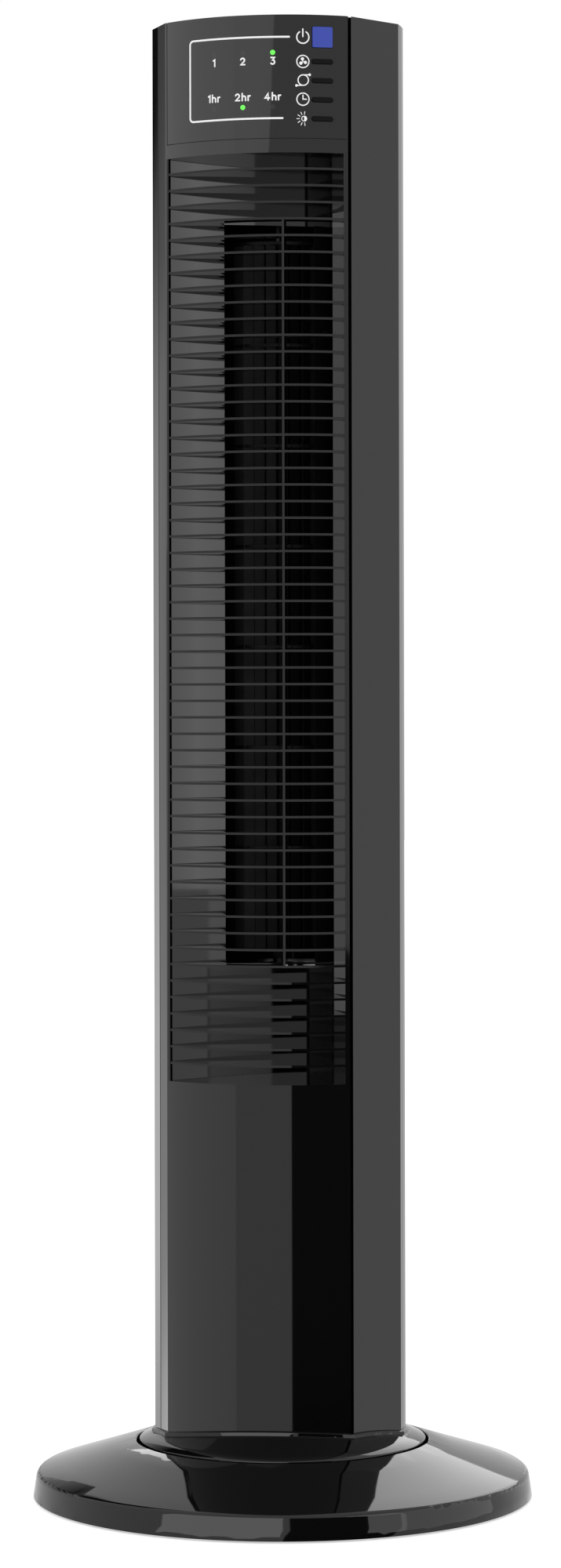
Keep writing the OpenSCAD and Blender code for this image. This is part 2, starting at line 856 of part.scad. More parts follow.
// Cut-off lip on the right of the wheel, with locating pegs on its outer face
module tongue() {
    lip_r = wheel_r + tongue_gap;
    root = wheel_axis + polar(lip_r + 1, -12);
    color(matte_black) {
        slab(outlet_z0 + 0.1, outlet_z1 - 0.1) translate(wheel_axis) ring_sector(lip_r + 2, lip_r, -47, -24);
        slab(lower_bulkhead_z + bulkhead_t, upper_bulkhead_z) difference() {
            union() {
                translate(wheel_axis) ring_sector(lip_r + 2, lip_r, -25, -10);
                polygon([root + [-1, 0], [33.5, 0], [38, 0], root + [2.5, 0], root + [0, 1]]);
            }
            recess_area(wall + 0.1);
            translate(wheel_axis) circle(lip_r);
        }
        for (i = [1, 3, 4, 6]) translate([wheel_axis[0], wheel_axis[1], wheel_z0 + section_h * i + 8])
            rotate([0, 90, -38]) translate([0, 0, lip_r + 1]) cylinder(h = 5, r = 1.6);
    }
}

module impeller() {
    hub_r = 9;
    color(matte_black) translate([wheel_axis[0], wheel_axis[1], 0]) difference() {
        union() {
            slab(wheel_z0, wheel_z1) for (i = [0:blade_count - 1]) rotate(360 / blade_count * i)
                polygon(blade_points());
            for (i = [1:section_count - 1])
                tube(wheel_r, blade_in_r - 1, wheel_z0 + section_h * i - 1, wheel_z0 + section_h * i + 1);
            slab(wheel_z0 - ring_t, wheel_z0 + eps) circle(wheel_r);
            slab(wheel_z1 - eps, wheel_z1 + ring_t) circle(wheel_r);
            slab(wheel_z0 - 8, wheel_z0 + 14) circle(hub_r);
            slab(wheel_z1 - 14, wheel_z1 + 4) circle(hub_r);
        }
        translate([0, 0, wheel_z0 - 9]) cylinder(h = 21, r = shaft_r);
        translate([0, 0, wheel_z1 - 10]) cylinder(h = 20, r = stub_r);
    }
}

module motor_shaft() {
    color(steel) translate([wheel_axis[0], wheel_axis[1], 0])
        slab(motor_top_z - motor_h - 3, wheel_z0 + 12) circle(shaft_r);
}

module top_stub_shaft() {
    color(steel) translate([wheel_axis[0], wheel_axis[1], 0])
        slab(wheel_z1 - 10, upper_bulkhead_z + 12) circle(stub_r);
}

core_z0 = motor_top_z - shield_t - 1 - winding_h - core_h;

module motor_rotor() {
    color(zinc) translate([wheel_axis[0], wheel_axis[1], 0])
        tube(rotor_r, shaft_r, core_z0, core_z0 + core_h);
}

module stator_core() {
    color(steel) translate([wheel_axis[0], wheel_axis[1], 0]) slab(core_z0, core_z0 + core_h) difference() {
        circle(core_r);
        circle(rotor_r + 0.4);
    }
}

module stator_windings() {
    color(copper) translate([wheel_axis[0], wheel_axis[1], 0]) {
        tube(core_r - 2, rotor_r + 2, core_z0 + core_h, core_z0 + core_h + winding_h);
        tube(core_r - 2, rotor_r + 2, core_z0 - winding_h, core_z0);
    }
}

// Two steel cups that close the motor and carry its bushes
module motor_shields() {
    z0 = motor_top_z - motor_h;
    mid = core_z0 + core_h / 2;
    color(zinc) translate([wheel_axis[0], wheel_axis[1], 0]) {
        difference() {
            union() {
                slab(mid + cup_gap, motor_top_z) circle(motor_r);
                slab(motor_top_z - shield_t, motor_top_z) for (a = motor_ear_angles) rotate(a) {
                    translate([0, -6]) square([motor_ear_r, 12]);
                    translate([motor_ear_r, 0]) circle(6);
                }
            }
            slab(mid, motor_top_z - shield_t) circle(core_r);
            slab(0, far * 2) circle(bush_r);
            for (a = motor_ear_angles) translate(polar(motor_ear_r, a)) slab(0, far * 2) circle(2);
        }
        difference() {
            slab(z0, mid - cup_gap) circle(motor_r);
            slab(z0 + shield_t, mid) circle(core_r);
            slab(0, far * 2) circle(bush_r);
        }
    }
}

module motor_bushes() {
    z0 = motor_top_z - motor_h;
    color(bronze) translate([wheel_axis[0], wheel_axis[1], 0]) {
        tube(bush_r, shaft_r + 0.05, motor_top_z - 6, motor_top_z + 1);
        tube(bush_r, shaft_r + 0.05, z0 - 1, z0 + 6);
    }
}

module motor_grommets() {
    color(matte_black) for (a = motor_ear_angles) translate(wheel_axis + polar(motor_ear_r, a)) {
        tube(5, 2, motor_top_z, lower_bulkhead_z);
        tube(3.5, 2, lower_bulkhead_z, lower_bulkhead_z + bulkhead_t);
    }
}

module motor_screws() {
    ear_z = motor_top_z - shield_t;
    color(zinc) for (a = motor_ear_angles) translate(wheel_axis + polar(motor_ear_r, a))
        translate([0, 0, lower_bulkhead_z + bulkhead_t]) rotate([180, 0, 0])
            screw(2, lower_bulkhead_z + bulkhead_t - ear_z, 4, 2);
}

module bearing_grommet() {
    color(matte_black) translate([wheel_axis[0], wheel_axis[1], 0])
        tube(11, 7, upper_bulkhead_z, upper_bulkhead_z + 9);
}

module top_bush() {
    color(bronze) translate([wheel_axis[0], wheel_axis[1], 0])
        tube(7, stub_r + 0.05, upper_bulkhead_z + 0.5, upper_bulkhead_z + 8.5);
}

// ---- Electrics ----

module power_board() {
    color(board_green) box_span([-50, 38], [power_board_y, power_board_y + board_t], power_board_z);
    color(matte_black) for (x = [-44, 32], z = [power_board_z[0] + 6, power_board_z[1] - 6])
        intersection() {
            translate([x, 0, z]) along_y(power_board_y + board_t, far) circle(3);
            slab(0, far) section(wall + eps);
        }
}

module power_components() {
    color(dark_grey) {
        box_span([-46, -14], [power_board_y - 24, power_board_y], [150, 186]);
        box_span([-6, 12], [power_board_y - 15, power_board_y], [160, 172]);
        box_span([-6, 12], [power_board_y - 15, power_board_y], [176, 188]);
        box_span([18, 34], [power_board_y - 10, power_board_y], [168, 176]);
        for (x = [-40, -30]) translate([x, 0, 122]) along_y(power_board_y - 18, power_board_y) circle(4);
    }
}

module run_capacitor() {
    color(gloss_black) box_span([-8, 30], [power_board_y - 17, power_board_y], [124, 150]);
}

module terminal_block() {
    color(acetal) difference() {
        box_span([6, 36], [power_board_y - 12, power_board_y], [104, 114]);
        for (x = [11, 21, 31]) translate([x, 0, 109]) along_y(0, power_board_y - 5) circle(2);
    }
}

// Loom from the power board up to the display, with a branch to the motor
module wiring_harness() {
    low = [wire_place[0], wire_place[1], 170];
    high = [wire_place[0], wire_place[1], overall_h - 62];
    loom_r = 3;
    branch_r = 2;
    color(matte_black) {
        rod([-53.2, power_board_y - 4, 170], low, loom_r);
        rod(low, high, loom_r);
        rod(high, [-42, -24, overall_h - 52], branch_r);
        rod([wire_place[0], wire_place[1], core_z0 + 10], [wheel_axis[0] - motor_r - 2.3, 15, core_z0 + 10],
            branch_r);
    }
}

// ---- Control panel ----

module control_panel() {
    color(gloss_black) difference() {
        slab(panel_z0 + panel_seam, overall_h) intersection() {
            section_ring(0, panel_t);
            translate([panel_left + panel_seam, -far])
                square([panel_right - panel_left - panel_seam, far - 25]);
        }
        on_front(button_angle, power_z) along_y(-3, 8)
            rounded_rect(power_button_w + 0.6, power_button_w + 0.6, 1.2);
        for (i = [0:3]) on_front(button_angle, slim_top_z - button_pitch * i) along_y(-3, 8)
            pill(slim_button_w + 0.6, slim_button_h + 0.6);
        for (a = led_angles, z = [speed_led_z, timer_led_z]) on_front(a, z) along_y(-1, 8) circle(led_r);
    }
}

module led_lens(angle, z) {
    intersection() {
        on_front(angle, z) along_y(-2, 6.5) circle(led_r);
        slab(panel_z0, overall_h) section(0);
    }
}

module lit_led_lenses() {
    color(led_green) {
        led_lens(led_angles[2], speed_led_z);
        led_lens(led_angles[1], timer_led_z);
    }
}

module unlit_led_lenses() {
    color(gloss_black) {
        for (i = [0, 1]) led_lens(led_angles[i], speed_led_z);
        for (i = [0, 2]) led_lens(led_angles[i], timer_led_z);
    }
}

display_z = (speed_led_z + timer_led_z) / 2;

module display_board() {
    color(board_green) on_front(led_angles[1], display_z)
        along_y(display_board_in, display_board_in + board_t) square([56, 50], center = true);
}

module led_chips() {
    color(acetal) for (a = led_angles, z = [speed_led_z, timer_led_z]) {
        side = (front_arc_r - display_board_in) * tan(a - led_angles[1]);
        on_front(led_angles[1], z) translate([side, 0, 0])
            along_y(display_board_in - 2, display_board_in) square(3, center = true);
    }
}

function button_z(i) = i == 0 ? power_z : slim_top_z - button_pitch * (i - 1);
switch_h = 4;

module button_board() {
    color(board_green) on_front(button_angle, (power_z + button_z(4)) / 2)
        along_y(button_board_in, button_board_in + board_t) square([16, 64], center = true);
}

module tact_switches() {
    color(dark_grey) for (i = [0:4]) on_front(button_angle, button_z(i)) difference() {
        along_y(button_board_in - switch_h, button_board_in) square(6, center = true);
        along_y(button_board_in - switch_h - 1, button_board_in + 1) circle(stem_r + 0.3);
    }
}

// Cap, retaining flange and stem of one button
module button(z, cap_in) {
    on_front(button_angle, z) {
        along_y(cap_in, 3.2) children(0);
        along_y(2.8, 3.8) children(1);
        along_y(3.7, button_board_in - button_travel - 0.4) circle(stem_r);
    }
}

module slim_button(i) {
    button(button_z(i), -slim_proud) {
        pill(slim_button_w, slim_button_h);
        square([15.5, 6], center = true);
    }
}

module power_button() {
    color(blue) button(button_z(0), -power_proud) {
        rounded_rect(power_button_w, power_button_w, 0.9);
        square([15.5, 15], center = true);
    }
}

module speed_button() {
    color(gloss_black) slim_button(1);
}

module swing_button() {
    color(gloss_black) slim_button(2);
}

module timer_button() {
    color(gloss_black) slim_button(3);
}

module dimmer_button() {
    color(gloss_black) slim_button(4);
}

rubber_feet();
base_plate();
base_screws();
ballast_ring();
base_cover();
pivot_post();
fixed_gear();
ball_cage();
bearing_balls();
pivot_retainer();
retainer_screws();
turntable();
foot_frame();
foot_screws();
swing_motor();
swing_motor_screws();
swing_pinion();
front_fascia();
grille_ribs();
outlet_tray();
rear_shell();
rear_grille();
shell_screws();
top_cap();
cord_gland();
lower_bulkhead();
upper_bulkhead();
scroll_wall();
tongue();
impeller();
motor_shaft();
top_stub_shaft();
motor_rotor();
stator_core();
stator_windings();
motor_shields();
motor_bushes();
motor_grommets();
motor_screws();
bearing_grommet();
top_bush();
power_board();
power_components();
run_capacitor();
terminal_block();
wiring_harness();
control_panel();
lit_led_lenses();
unlit_led_lenses();
display_board();
led_chips();
button_board();
tact_switches();
power_button();
speed_button();
swing_button();
timer_button();
dimmer_button();
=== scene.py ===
"""Tower fan: the looks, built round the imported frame. Metres, Z up, the front faces -Y."""

import json
import math

import bmesh
import bpy
from mathutils import Matrix, Vector


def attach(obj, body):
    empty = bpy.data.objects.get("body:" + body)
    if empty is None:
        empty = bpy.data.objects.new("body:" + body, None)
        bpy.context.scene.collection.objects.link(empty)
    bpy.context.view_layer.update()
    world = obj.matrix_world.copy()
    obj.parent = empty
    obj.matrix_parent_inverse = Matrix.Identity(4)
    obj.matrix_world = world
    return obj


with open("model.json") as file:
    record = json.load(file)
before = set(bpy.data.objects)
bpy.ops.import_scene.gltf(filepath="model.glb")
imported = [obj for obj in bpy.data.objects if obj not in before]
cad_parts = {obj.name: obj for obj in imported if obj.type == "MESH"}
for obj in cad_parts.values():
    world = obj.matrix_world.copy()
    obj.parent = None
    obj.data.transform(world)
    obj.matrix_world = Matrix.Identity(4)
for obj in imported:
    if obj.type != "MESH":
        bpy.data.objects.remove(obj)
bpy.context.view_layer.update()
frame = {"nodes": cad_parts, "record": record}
NODES = frame["nodes"]
scene = bpy.context.scene

# ---------------------------------------------------------------- view
CAMERA_DISTANCE = 2.615
CAMERA_HEIGHT = 0.498
CAMERA_TURN = math.radians(10)
CAMERA_ROLL = math.radians(-0.12)
CAMERA_LENS = 95.94
CAMERA_SENSOR = 36
CAMERA_SHIFT = (-0.00035, -0.055)
UPRIGHT = Matrix.Rotation(math.radians(90), 4, "X")

camera_data = bpy.data.cameras.new("camera")
camera_data.sensor_width = CAMERA_SENSOR
camera_data.lens = CAMERA_LENS
camera_data.shift_x, camera_data.shift_y = CAMERA_SHIFT
camera = bpy.data.objects.new("camera", camera_data)
scene.collection.objects.link(camera)
camera.matrix_world = (
    Matrix.Rotation(CAMERA_TURN, 4, "Z")
    @ Matrix.Translation((0, -CAMERA_DISTANCE, CAMERA_HEIGHT))
    @ UPRIGHT
    @ Matrix.Rotation(CAMERA_ROLL, 4, "Z")
)
scene.camera = camera
scene.view_settings.view_transform = "Standard"


# ---------------------------------------------------------------- materials
def set_range(node, from_min, from_max, to_min, to_max):
    """Fills in the four limits of a Map Range node."""
    node.inputs["From Min"].default_value = from_min
    node.inputs["From Max"].default_value = from_max
    node.inputs["To Min"].default_value = to_min
    node.inputs["To Max"].default_value = to_max


class Graph:
    """A material's node tree, with short calls for the nodes that the finishes share."""

    def __init__(self, name, color, rough, metal=0.0, **sockets):
        self.material = bpy.data.materials.new(name)
        self.material.use_nodes = True
        self.tree = self.material.node_tree
        self.shader = self.tree.nodes["Principled BSDF"]
        self.put("Base Color", (*color, 1))
        self.put("Roughness", rough)
        self.put("Metallic", metal)
        for socket, value in sockets.items():
            self.put(socket.replace("_", " "), value)
        self.place = self.add("ShaderNodeTexCoord").outputs["Object"]

    def put(self, socket, value):
        self.shader.inputs[socket].default_value = value

    def add(self, kind, **values):
        node = self.tree.nodes.new(kind)
        for key, value in values.items():
            if hasattr(node, key):
                setattr(node, key, value)
            else:
                node.inputs[key.replace("_", " ")].default_value = value
        return node

    def link(self, source, target):
        self.tree.links.new(source, target)

    def stretched(self, scale):
        """The object coordinates, scaled by three factors."""
        mapping = self.add("ShaderNodeMapping")
        mapping.inputs["Scale"].default_value = scale
        self.link(self.place, mapping.inputs["Vector"])
        return mapping.outputs["Vector"]

    def noise(self, scale, detail=4.0, stretch=(1, 1, 1)):
        node = self.add("ShaderNodeTexNoise", Scale=scale, Detail=detail)
        self.link(self.stretched(stretch), node.inputs["Vector"])
        return node.outputs["Fac"]

    def grade(self, value, low, high, near=0.3, far=0.7):
        """Maps a 0 to 1 value onto the range low to high."""
        node = self.add("ShaderNodeMapRange")
        set_range(node, near, far, low, high)
        self.link(value, node.inputs["Value"])
        return node.outputs["Result"]

    def tint(self, value, low, high):
        """Mixes two colours by a 0 to 1 value."""
        node = self.add("ShaderNodeMix", data_type="RGBA")
        factor, color_a, color_b, mixed = 0, 6, 7, 2  # the Mix node's sockets for colours
        node.inputs[color_a].default_value = (*low, 1)
        node.inputs[color_b].default_value = (*high, 1)
        self.link(value, node.inputs[factor])
        return node.outputs[mixed]

    def drive(self, socket, value):
        self.link(value, self.shader.inputs[socket])

    def bump(self, height, distance, strength=1.0):
        node = self.add("ShaderNodeBump", Strength=strength, Distance=distance)
        self.link(height, node.inputs["Height"])
        self.drive("Normal", node.outputs["Normal"])


def moulded(name, color, rough, grain=0.0, grain_size=900, spread=0.3, **sockets):
    """Injection-moulded plastic: slow colour drift, uneven gloss and a fine surface grain."""
    g = Graph(name, color, rough, **sockets)
    drift = g.noise(14, 3)
    g.drive("Base Color", g.tint(drift, color, [min(1, c * (1 + spread)) for c in color]))
    g.drive("Roughness", g.grade(g.noise(60, 5), rough * 0.85, rough * 1.2))
    if grain:
        g.bump(g.noise(grain_size, 3), grain)
    return g.material


def polished(name, color, rough):
    """Piano-black plastic: a faint moulding wave, micro-scratches and a trace of dust."""
    g = Graph(name, color, rough, Specular_IOR_Level=0.5)
    dust = g.noise(420, 6)
    g.drive("Base Color", g.tint(g.grade(dust, 0, 1, 0.62, 0.8), color, [c * 2.2 for c in color]))
    scratch = g.noise(55, 8, (1, 1, 0.12))
    g.drive("Roughness", g.grade(scratch, rough * 0.8, rough * 1.35))
    g.bump(g.noise(9, 1), 0.00006)
    return g.material


def brushed(name, color, rough, stretch=(1, 1, 0.03)):
    """Metal with fine parallel lines."""
    g = Graph(name, color, rough, 1.0)
    lines = g.noise(700, 4, stretch)
    g.drive("Roughness", g.grade(lines, rough * 0.75, rough * 1.3))
    g.drive("Base Color", g.tint(g.noise(40, 4), [c * 0.86 for c in color], color))
    g.bump(lines, 0.00001)
    return g.material


def banded(name, color, dark, rough, scale, metal=1.0):
    """Stacked or wound material: even lines across the height."""
    g = Graph(name, color, rough, metal)
    wave = g.add("ShaderNodeTexWave", Scale=scale, Distortion=0.15, bands_direction="Z")
    g.link(g.place, wave.inputs["Vector"])
    g.drive("Base Color", g.tint(wave.outputs["Fac"], dark, color))
    g.bump(wave.outputs["Fac"], 0.00008)
    return g.material


def glowing(name, color, strength):
    """A lit LED window: diffusing plastic that glows a little unevenly."""
    g = Graph(name, color, 0.25, Emission_Strength=strength)
    g.drive("Emission Color", g.tint(g.noise(900, 2), [c * 0.75 for c in color], color))
    return g.material


BLACK = (0.003, 0.003, 0.0032)
SHELL = polished("shell_gloss", BLACK, 0.045)
SATIN = moulded("satin_black", (0.004, 0.004, 0.0045), 0.45, 0.00002, Specular_IOR_Level=0.2)
FINISHES = {
    "gloss_black": SHELL,
    "matte_black": SATIN,
    "inner_black": moulded("inner_black", (0.004, 0.004, 0.0045), 0.5, 0.00003, 700, Specular_IOR_Level=0.2),
    "rubber_black": moulded("rubber_black", (0.02, 0.02, 0.02), 0.75, 0.00004, 500),
    "steel_screw": brushed("zinc_plate", (0.56, 0.57, 0.6), 0.28, (1, 1, 1)),
    "steel_sheet": brushed("sheet_steel", (0.5, 0.5, 0.51), 0.34),
    "steel_ball": brushed("bearing_steel", (0.75, 0.75, 0.77), 0.08, (1, 1, 1)),
    "iron": moulded("cast_iron", (0.05, 0.05, 0.05), 0.7, 0.0002, 260, Metallic=0.6),
    "acetal": moulded("acetal", (0.62, 0.61, 0.57), 0.38, 0.00001, Subsurface_Weight=0.1),
    "dark_nylon": moulded("dark_nylon", (0.03, 0.03, 0.033), 0.42, 0.00002),
    "lamination": banded("laminations", (0.3, 0.3, 0.32), (0.08, 0.07, 0.06), 0.4, 320),
    "copper": banded("windings", (0.55, 0.22, 0.08), (0.2, 0.06, 0.02), 0.3, 260),
    "bronze": brushed("sintered_bronze", (0.5, 0.32, 0.14), 0.4, (1, 1, 1)),
    "board_green": moulded("solder_mask", (0.01, 0.09, 0.035), 0.3, 0.00002, 300, 0.6),
    "cream_plastic": moulded("cream_nylon", (0.55, 0.52, 0.44), 0.4, 0.00002),
    "can": brushed("aluminium_can", (0.62, 0.62, 0.64), 0.3),
    "wire": moulded("wire_sleeve", (0.03, 0.03, 0.03), 0.5, 0.00006, 350),
    "chip": moulded("component_black", (0.02, 0.02, 0.02), 0.4, 0.00002),
    "led_lit": glowing("led_green_lit", (0.12, 0.72, 0.08), 0.6),
    "led_off": moulded("led_window_dark", (0.008, 0.012, 0.008), 0.1),
    "button_blue": moulded("button_blue", (0.03, 0.055, 0.37), 0.3, 0.00001, 1200, 0.08),
    "button_black": moulded(
        "button_gloss", (0.003, 0.003, 0.0035), 0.22, 0.000005, 1200, Specular_IOR_Level=0.12
    ),
}
PRINT = moulded("print_white", (0.8, 0.8, 0.81), 0.45, 0.000004, 2500, 0.08)

for part in frame["record"]["subparts"]:
    node = NODES[part["node"]]
    node.data.materials.clear()
    node.data.materials.append(FINISHES[part["material_slot"]])
# The two shafts share the sheet's slot, but are dark from oil
for name in ("motor_shaft", "top_stub_shaft"):
    NODES[name].data.materials[0] = brushed("oiled_shaft_" + name, (0.06, 0.06, 0.065), 0.35)


MERGE_DISTANCE = 0.00001


def soften(node, width, segments=3, angle=32):
    """Rounds a CAD node's hard edges a little, as a mould does."""
    obj = NODES[node]
    weld = obj.modifiers.new("weld", "WELD")
    weld.merge_threshold = MERGE_DISTANCE
    bevel = obj.modifiers.new("bevel", "BEVEL")
    bevel.width = width
    bevel.segments = segments
    bevel.limit_method = "ANGLE"
    bevel.angle_limit = math.radians(angle)
    bevel.harden_normals = True


# Widths of the rounded edges, in metres
SOFTENED = {
    "base_cover": 0.0004,
    "turntable": 0.0004,
    "power_button": 0.0004,
    "cord_gland": 0.0004,
    "speed_button": 0.0003,
    "swing_button": 0.0003,
    "timer_button": 0.0003,
    "dimmer_button": 0.0003,
}
for name, width in SOFTENED.items():
    soften(name, width)


# ---------------------------------------------------------------- printing on the front
# The front face is an arc round this axis; ink stands this far off it, and each stroke a little farther
FRONT_AXIS = Vector((-0.004, 0.046))
FRONT_RADIUS = 0.102
INK = 0.00003
INK_STEP = 0.000003
MITRE_LIMIT = 1.9
CAP_SIDES = 8


def on_front(angle, x, z, lift=0.0):
    """A point of the front arc: x metres along it from an angle in degrees, at height z."""
    turn = math.radians(angle) + x / FRONT_RADIUS
    reach = FRONT_RADIUS + INK + lift
    return Vector((FRONT_AXIS.x + reach * math.sin(turn), FRONT_AXIS.y - reach * math.cos(turn), z))


PRINTED = []


class Print:
    """Flat ink drawn in millimetres round one place on the front, as one mesh."""

    def __init__(self, name):
        self.name = name
        self.mesh = bmesh.new()
        self.lift = 0.0

    def face(self, points, angle, z):
        """One filled outline, given counter-clockwise as (x, height) pairs."""
        verts = [self.mesh.verts.new(on_front(angle, x / 1000, z + y / 1000, self.lift)) for x, y in points]
        self.mesh.faces.new(verts)

    def stroke(self, points, width, angle, z, closed=False):
        """A line of even width with mitred joints and round ends, a little above the last one."""
        self.lift += INK_STEP
        half = width / 2
        if closed:
            points = [points[-1]] + points + [points[0]]
        runs = [Vector(b) - Vector(a) for a, b in zip(points, points[1:])]
        sides = [Vector((run.y, -run.x)).normalized() for run in runs]
        sides = [sides[0]] + sides + [sides[-1]]
        edges = []
        for point, before, after in zip(points, sides, sides[1:]):
            mitre = (before + after).normalized()
            offset = mitre * min(half / max(mitre.dot(after), 0.1), MITRE_LIMIT * half)
            edges.append((Vector(point) + offset, Vector(point) - offset))
        if closed:
            edges = edges[1:-1] + [edges[1]]
        for (a, b), (c, d) in zip(edges, edges[1:]):
            self.face([a, c, d, b], angle, z)
        if not closed:
            for point, side in ((points[0], -sides[0]), (points[-1], sides[-1])):
                start = math.atan2(side.y, side.x)
                spread = [start + math.pi * i / CAP_SIDES for i in range(CAP_SIDES + 1)]
                cap = [(point[0] + half * math.cos(a), point[1] + half * math.sin(a)) for a in spread]
                self.face(cap, angle, z)

    def disc(self, x, y, radius, angle, z, sides=24):
        """A round dot."""
        self.lift += INK_STEP
        self.face([(x + radius * math.cos(a), y + radius * math.sin(a)) for a in turns(sides)], angle, z)

    def done(self):
        """Turns the ink into an object that rides the tower."""
        data = bpy.data.meshes.new(self.name)
        self.mesh.to_mesh(data)
        self.mesh.free()
        data.materials.append(PRINT)
        obj = bpy.data.objects.new(self.name, data)
        scene.collection.objects.link(obj)
        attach(obj, "tower")
        PRINTED.append(obj)


def turns(count):
    """Evenly spaced angles round a full turn."""
    return [math.tau * i / count for i in range(count)]


def arc(x, y, radius, start, end, count=24):
    """Points on an arc, with angles in degrees."""
    steps = [math.radians(start + (end - start) * i / count) for i in range(count + 1)]
    return [(x + radius * math.cos(a), y + radius * math.sin(a)) for a in steps]


def dense(points, step=2.0):
    """Splits long straight runs so that they follow the front's curve."""
    out = [points[0]]
    for (x0, y0), (x1, y1) in zip(points, points[1:]):
        count = max(1, round(math.hypot(x1 - x0, y1 - y0) / step))
        out += [(x0 + (x1 - x0) * i / count, y0 + (y1 - y0) * i / count) for i in range(1, count + 1)]
    return out


# Each glyph is a set of strokes in a box one unit high, with its advance width.
GLYPHS = {
    "1": ([[(0.0, 0.84), (0.24, 0.98), (0.24, 0.0)]], 0.66),
    "2": ([arc(0.31, 0.69, 0.29, 165, -38, 16) + [(0.04, 0.02), (0.64, 0.02)]], 1.05),
    "3": ([[(0.06, 0.98), (0.56, 0.98), (0.3, 0.6)] + arc(0.29, 0.3, 0.3, 80, -145, 18)], 1.0),
    "4": ([[(0.46, 0.0), (0.46, 0.98), (0.0, 0.28), (0.68, 0.28)]], 1.1),
    "h": ([[(0.0, 1.06), (0.0, 0.0)], arc(0.26, 0.4, 0.26, 180, 0, 12) + [(0.52, 0.0)]], 0.92),
    "r": ([[(0.0, 0.68), (0.0, 0.0)], arc(0.3, 0.38, 0.3, 180, 90, 8)], 0.3),
}
GLYPH_HEIGHT = 4.1
GLYPH_STROKE = 0.92


def lettering(ink, text, angle, z):
    """Writes a short label centred on a place of the front."""
    last = {"1": 0.24, "2": 0.64, "3": 0.6, "r": 0.3}[text[-1]]
    x = -(sum(GLYPHS[c][1] for c in text[:-1]) + last) / 2
    for c in text:
        strokes, advance = GLYPHS[c]
        for stroke in strokes:
            placed = [((x + px) * GLYPH_HEIGHT, (py - 0.5) * GLYPH_HEIGHT) for px, py in stroke]
            ink.stroke(placed, GLYPH_STROKE, angle, z)
        x += advance


# Heights above the floor in metres, and places round the front in degrees
SPEED_Z, TIMER_Z = 0.8882, 0.8663
COLUMNS = (-15.8, -5.2, 5.3)
ICON_ANGLE = 15.7
POWER, SPEED, SWING, TIMER, DIMMER = 0.9026, 0.8877, 0.8763, 0.8646, 0.8527

labels = Print("panel_digits")
for column, digit, hours in zip(COLUMNS, "123", ("1hr", "2hr", "4hr")):
    lettering(labels, digit, column, SPEED_Z)
    lettering(labels, hours, column, TIMER_Z)
labels.done()

# The bracket round the digits is open on the right, where its upper line runs a little farther
BRACKET_TOP, BRACKET_BOTTOM, BRACKET_WIDTH = 0.9028, 0.8530, 1.15
BRACKET_LEFT, TOP_END, BOTTOM_END = -25.5, 10.95, 8.65
BRACKET_CORNER = 2.4


def along_front(start, end):
    """Length in millimetres of the front's arc between two angles in degrees."""
    return math.radians(end - start) * FRONT_RADIUS * 1000


bracket = Print("panel_bracket")
height = (BRACKET_TOP - BRACKET_BOTTOM) * 1000
r = BRACKET_CORNER
path = [(along_front(BRACKET_LEFT, TOP_END), height)]
path += arc(r, height - r, r, 90, 180, 8) + arc(r, r, r, 180, 270, 8)
path += [(along_front(BRACKET_LEFT, BOTTOM_END), 0)]
bracket.stroke(dense(path), BRACKET_WIDTH, BRACKET_LEFT, BRACKET_BOTTOM)
bracket.done()

# Icons, in millimetres round their own centres
RING, LINE = 3.75, 0.8
THIN, FINE = LINE * 0.85, LINE * 0.55
BLADE_REACH, BLADE_ROOT, BLADE_TIP = 1.62, 0.35, 1.0
LOOP, LOOP_LINE, LOOP_DOT = 3.2, LINE * 0.8, 0.8
SUN_X, SUN_R, RAY_X, RAY_FROM, RAY_TO = 0.7, 1.8, 0.5, 2.7, 4.3

icons = Print("panel_icons")
icons.stroke(arc(0, 0, RING, 58, -238, 40), LINE, ICON_ANGLE, POWER)
icons.stroke([(0, 0.4), (0, 5.0)], LINE, ICON_ANGLE, POWER)
for z in (SPEED, TIMER):
    icons.stroke(arc(0, 0, RING, 0, 352, 44), THIN, ICON_ANGLE, z, closed=True)
for a in (100, 220, 340):
    tip = (BLADE_REACH * math.cos(math.radians(a)), BLADE_REACH * math.sin(math.radians(a)))
    icons.disc(*tip, BLADE_TIP, ICON_ANGLE, SPEED)
    root = tuple(BLADE_ROOT * c for c in tip)
    icons.stroke([root, tip], LINE, ICON_ANGLE, SPEED)
icons.stroke(arc(0.2, 0, LOOP, 0, 352, 40), THIN, ICON_ANGLE, SWING, closed=True)
icons.stroke([(0.2, LOOP), (4.0, 3.3)], LOOP_LINE, ICON_ANGLE, SWING)
icons.stroke([(0.2, -LOOP), (-3.8, -3.3)], LOOP_LINE, ICON_ANGLE, SWING)
icons.disc(4.15, 3.3, LOOP_DOT, ICON_ANGLE, SWING)
icons.disc(-3.95, -3.3, LOOP_DOT, ICON_ANGLE, SWING)
icons.stroke([(0, 2.5), (0, 0), (2.1, 0)], THIN, ICON_ANGLE, TIMER)
icons.stroke(arc(SUN_X, 0, 1.5, 90, 270, 14), LINE * 0.6, ICON_ANGLE, DIMMER)
icons.face(arc(SUN_X, 0, SUN_R, -90, 90, 16), ICON_ANGLE, DIMMER)
for a in range(82, 290, 33):
    c, n = math.cos(math.radians(a)), math.sin(math.radians(a))
    ray = [(RAY_X + RAY_FROM * c, RAY_FROM * n), (RAY_X + RAY_TO * c, RAY_TO * n)]
    icons.stroke(ray, FINE, ICON_ANGLE, DIMMER)
icons.done()

# ---------------------------------------------------------------- lights and floor
# What reflections see of the white room, and how it darkens towards the ground (in sines of the slope)
WORLD_LEVEL = 0.8
GROUND_LEVEL = 0.04
GROUND_FADE = (-0.42, -0.22)


